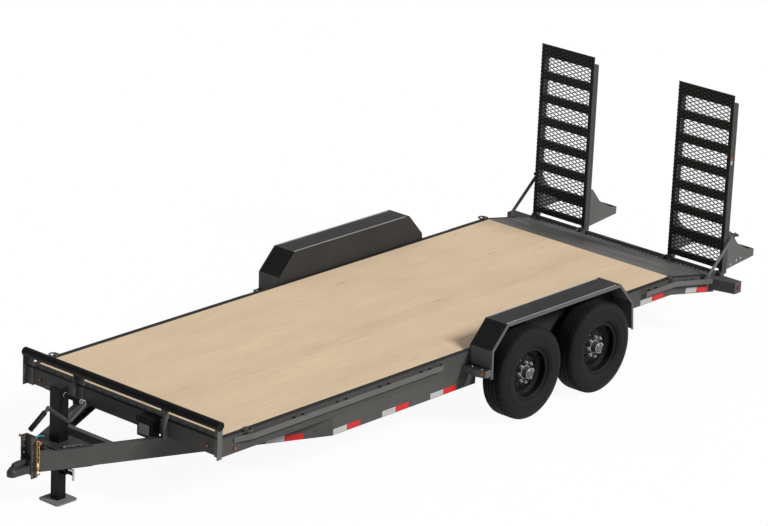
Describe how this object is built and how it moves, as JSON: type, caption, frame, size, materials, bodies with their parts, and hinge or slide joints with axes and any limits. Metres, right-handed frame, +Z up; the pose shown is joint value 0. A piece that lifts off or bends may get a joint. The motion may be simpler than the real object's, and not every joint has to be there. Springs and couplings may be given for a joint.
{
  "type": "tandem-axle plant trailer with stand-up ramps",
  "caption": "Twenty-foot tandem-axle plant trailer: timber deck, dovetail, two stand-up mesh ramps, A-frame tongue with drop-leg jack and ball coupler.",
  "frame": {"origin": "on the ground, midway between the coupler's nose and the ramp feet, on the middle plane", "axes": "+X to the rear, +Y to the trailer's right, +Z up"},
  "size_m": [7.803, 2.71, 2.118],
  "materials": {
    "frame_paint": "satin",
    "black_paint": "satin",
    "deck_wood": "sawn",
    "tyre_rubber": "matte",
    "wheel_paint": "satin",
    "bare_steel": "satin",
    "chain_gold": "plated",
    "box_plastic": "matte",
    "amber_lens": "gloss",
    "red_lens": "gloss"
  },
  "bodies": {
    "bed": {"side_rail_left": "frame_paint", "side_rail_right": "frame_paint", "header": "frame_paint", "crossmembers": "frame_paint", "dovetail_floor": "frame_paint", "rear_channel": "frame_paint", "tongue_beam_left": "frame_paint", "tongue_beam_right": "frame_paint", "tongue_crossmember": "frame_paint", "jack_mount": "frame_paint", "coupler_channel": "frame_paint", "coupler": "frame_paint", "front_posts": "frame_paint", "rub_rail_left": "frame_paint", "rub_rail_right": "frame_paint", "stake_pockets_left": "frame_paint", "stake_pockets_right": "frame_paint", "tie_down_rings": "frame_paint", "fender_left": "frame_paint", "fender_right": "frame_paint", "fender_brackets": "frame_paint", "light_boxes": "frame_paint", "hinge_bar": "frame_paint", "front_pipe": "black_paint", "jack_tube": "black_paint", "jack_leg": "black_paint", "jack_crank": "black_paint", "axle_front": "black_paint", "axle_rear": "black_paint", "leaf_springs": "black_paint", "spring_hangers_left": "black_paint", "spring_hangers_right": "black_paint", "equalizers": "black_paint", "deck_boards": "deck_wood", "junction_box": "box_plastic", "jack_pin": "bare_steel", "safety_chains": "chain_gold", "amber_lamps": "amber_lens", "red_lamps": "red_lens"},
    "wheel_set_front_left": {"tyre_front_left": "tyre_rubber", "wheel_front_left": "wheel_paint", "hub_front_left": "bare_steel"},
    "wheel_set_rear_left": {"tyre_rear_left": "tyre_rubber", "wheel_rear_left": "wheel_paint", "hub_rear_left": "bare_steel"},
    "ramp_left": {"ramp_frame_left": "frame_paint", "ramp_mesh_left": "black_paint"},
    "brace_left": {"ramp_brace_left": "frame_paint"},
    "wheel_set_front_right": {"tyre_front_right": "tyre_rubber", "wheel_front_right": "wheel_paint", "hub_front_right": "bare_steel"},
    "wheel_set_rear_right": {"tyre_rear_right": "tyre_rubber", "wheel_rear_right": "wheel_paint", "hub_rear_right": "bare_steel"},
    "ramp_right": {"ramp_frame_right": "frame_paint", "ramp_mesh_right": "black_paint"},
    "brace_right": {"ramp_brace_right": "frame_paint"}
  },
  "joints": [
    {"name": "wheel_turn_front_left", "type": "hinge", "parent": "bed", "child": "wheel_set_front_left", "pos_m": [0.5695, -1.2375, 0.389], "axis": [0, 1, 0], "continuous": true},
    {"name": "wheel_turn_rear_left", "type": "hinge", "parent": "bed", "child": "wheel_set_rear_left", "pos_m": [1.4585, -1.2375, 0.389], "axis": [0, 1, 0], "continuous": true},
    {"name": "ramp_hinge_left", "type": "hinge", "parent": "bed", "child": "ramp_left", "pos_m": [3.45832, -0.77, 0.5], "axis": [0, 1, 0], "range_deg": [0, 106]},
    {"name": "brace_pivot_left", "type": "hinge", "parent": "bed", "child": "brace_left", "pos_m": [3.1985, -1.115, 0.562], "axis": [0, 1, 0], "range_deg": [-125, 0]},
    {"name": "wheel_turn_front_right", "type": "hinge", "parent": "bed", "child": "wheel_set_front_right", "pos_m": [0.5695, 1.2375, 0.389], "axis": [0, 1, 0], "continuous": true},
    {"name": "wheel_turn_rear_right", "type": "hinge", "parent": "bed", "child": "wheel_set_rear_right", "pos_m": [1.4585, 1.2375, 0.389], "axis": [0, 1, 0], "continuous": true},
    {"name": "ramp_hinge_right", "type": "hinge", "parent": "bed", "child": "ramp_right", "pos_m": [3.45832, 0.77, 0.5], "axis": [0, 1, 0], "range_deg": [0, 106]},
    {"name": "brace_pivot_right", "type": "hinge", "parent": "bed", "child": "brace_right", "pos_m": [3.1985, 1.115, 0.562], "axis": [0, 1, 0], "range_deg": [-125, 0]}
  ]
}
